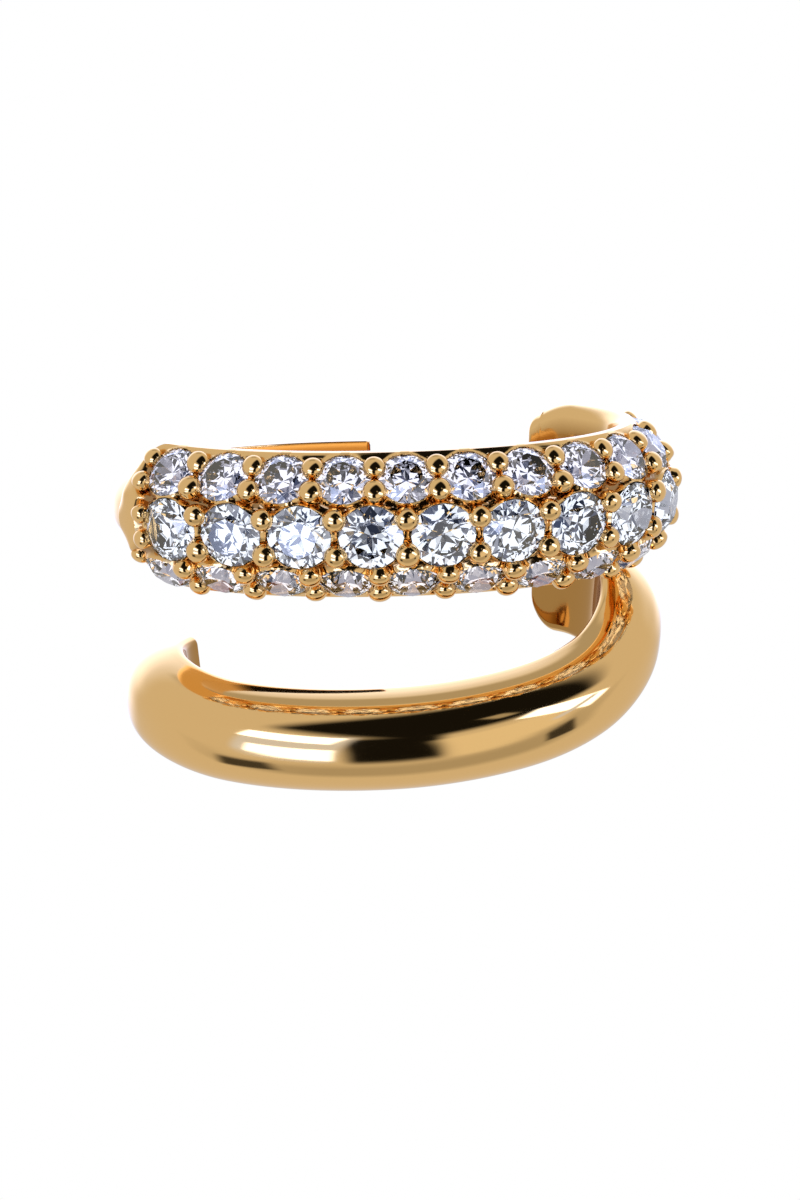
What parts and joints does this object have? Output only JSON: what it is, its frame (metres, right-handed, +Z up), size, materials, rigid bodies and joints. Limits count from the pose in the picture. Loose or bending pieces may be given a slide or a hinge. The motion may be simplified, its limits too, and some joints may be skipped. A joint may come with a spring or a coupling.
{
  "type": "ear cuff",
  "caption": "Open ear cuff with two joined bands: a domed band set with round stones, and a plain polished band below it.",
  "frame": {"origin": "middle of the resting cuff's bounding box, at its lowest point, on the surface it lies on", "axes": "+Z up from the surface, +X along the cuff's longest side towards the joined end, -Y towards the front with the stones"},
  "size_m": [0.013, 0.0094, 0.0079],
  "materials": {
    "gold": "polished yellow gold",
    "clear_stone": "clear, cut and polished"
  },
  "bodies": {
    "root": {"centre_stone_01": "clear_stone", "centre_stone_02": "clear_stone", "centre_stone_03": "clear_stone", "centre_stone_04": "clear_stone", "centre_stone_05": "clear_stone", "centre_stone_06": "clear_stone", "centre_stone_07": "clear_stone", "centre_stone_08": "clear_stone", "centre_stone_09": "clear_stone", "centre_stone_10": "clear_stone", "centre_stone_11": "clear_stone", "cuff_frame": "gold", "lower_stone_01": "clear_stone", "lower_stone_02": "clear_stone", "lower_stone_03": "clear_stone", "lower_stone_04": "clear_stone", "lower_stone_05": "clear_stone", "lower_stone_06": "clear_stone", "lower_stone_07": "clear_stone", "lower_stone_08": "clear_stone", "lower_stone_09": "clear_stone", "lower_stone_10": "clear_stone", "upper_stone_01": "clear_stone", "upper_stone_02": "clear_stone", "upper_stone_03": "clear_stone", "upper_stone_04": "clear_stone", "upper_stone_05": "clear_stone", "upper_stone_06": "clear_stone", "upper_stone_07": "clear_stone", "upper_stone_08": "clear_stone", "upper_stone_09": "clear_stone", "upper_stone_10": "clear_stone", "upper_stone_11": "clear_stone", "upper_stone_12": "clear_stone"}
  },
  "joints": []
}
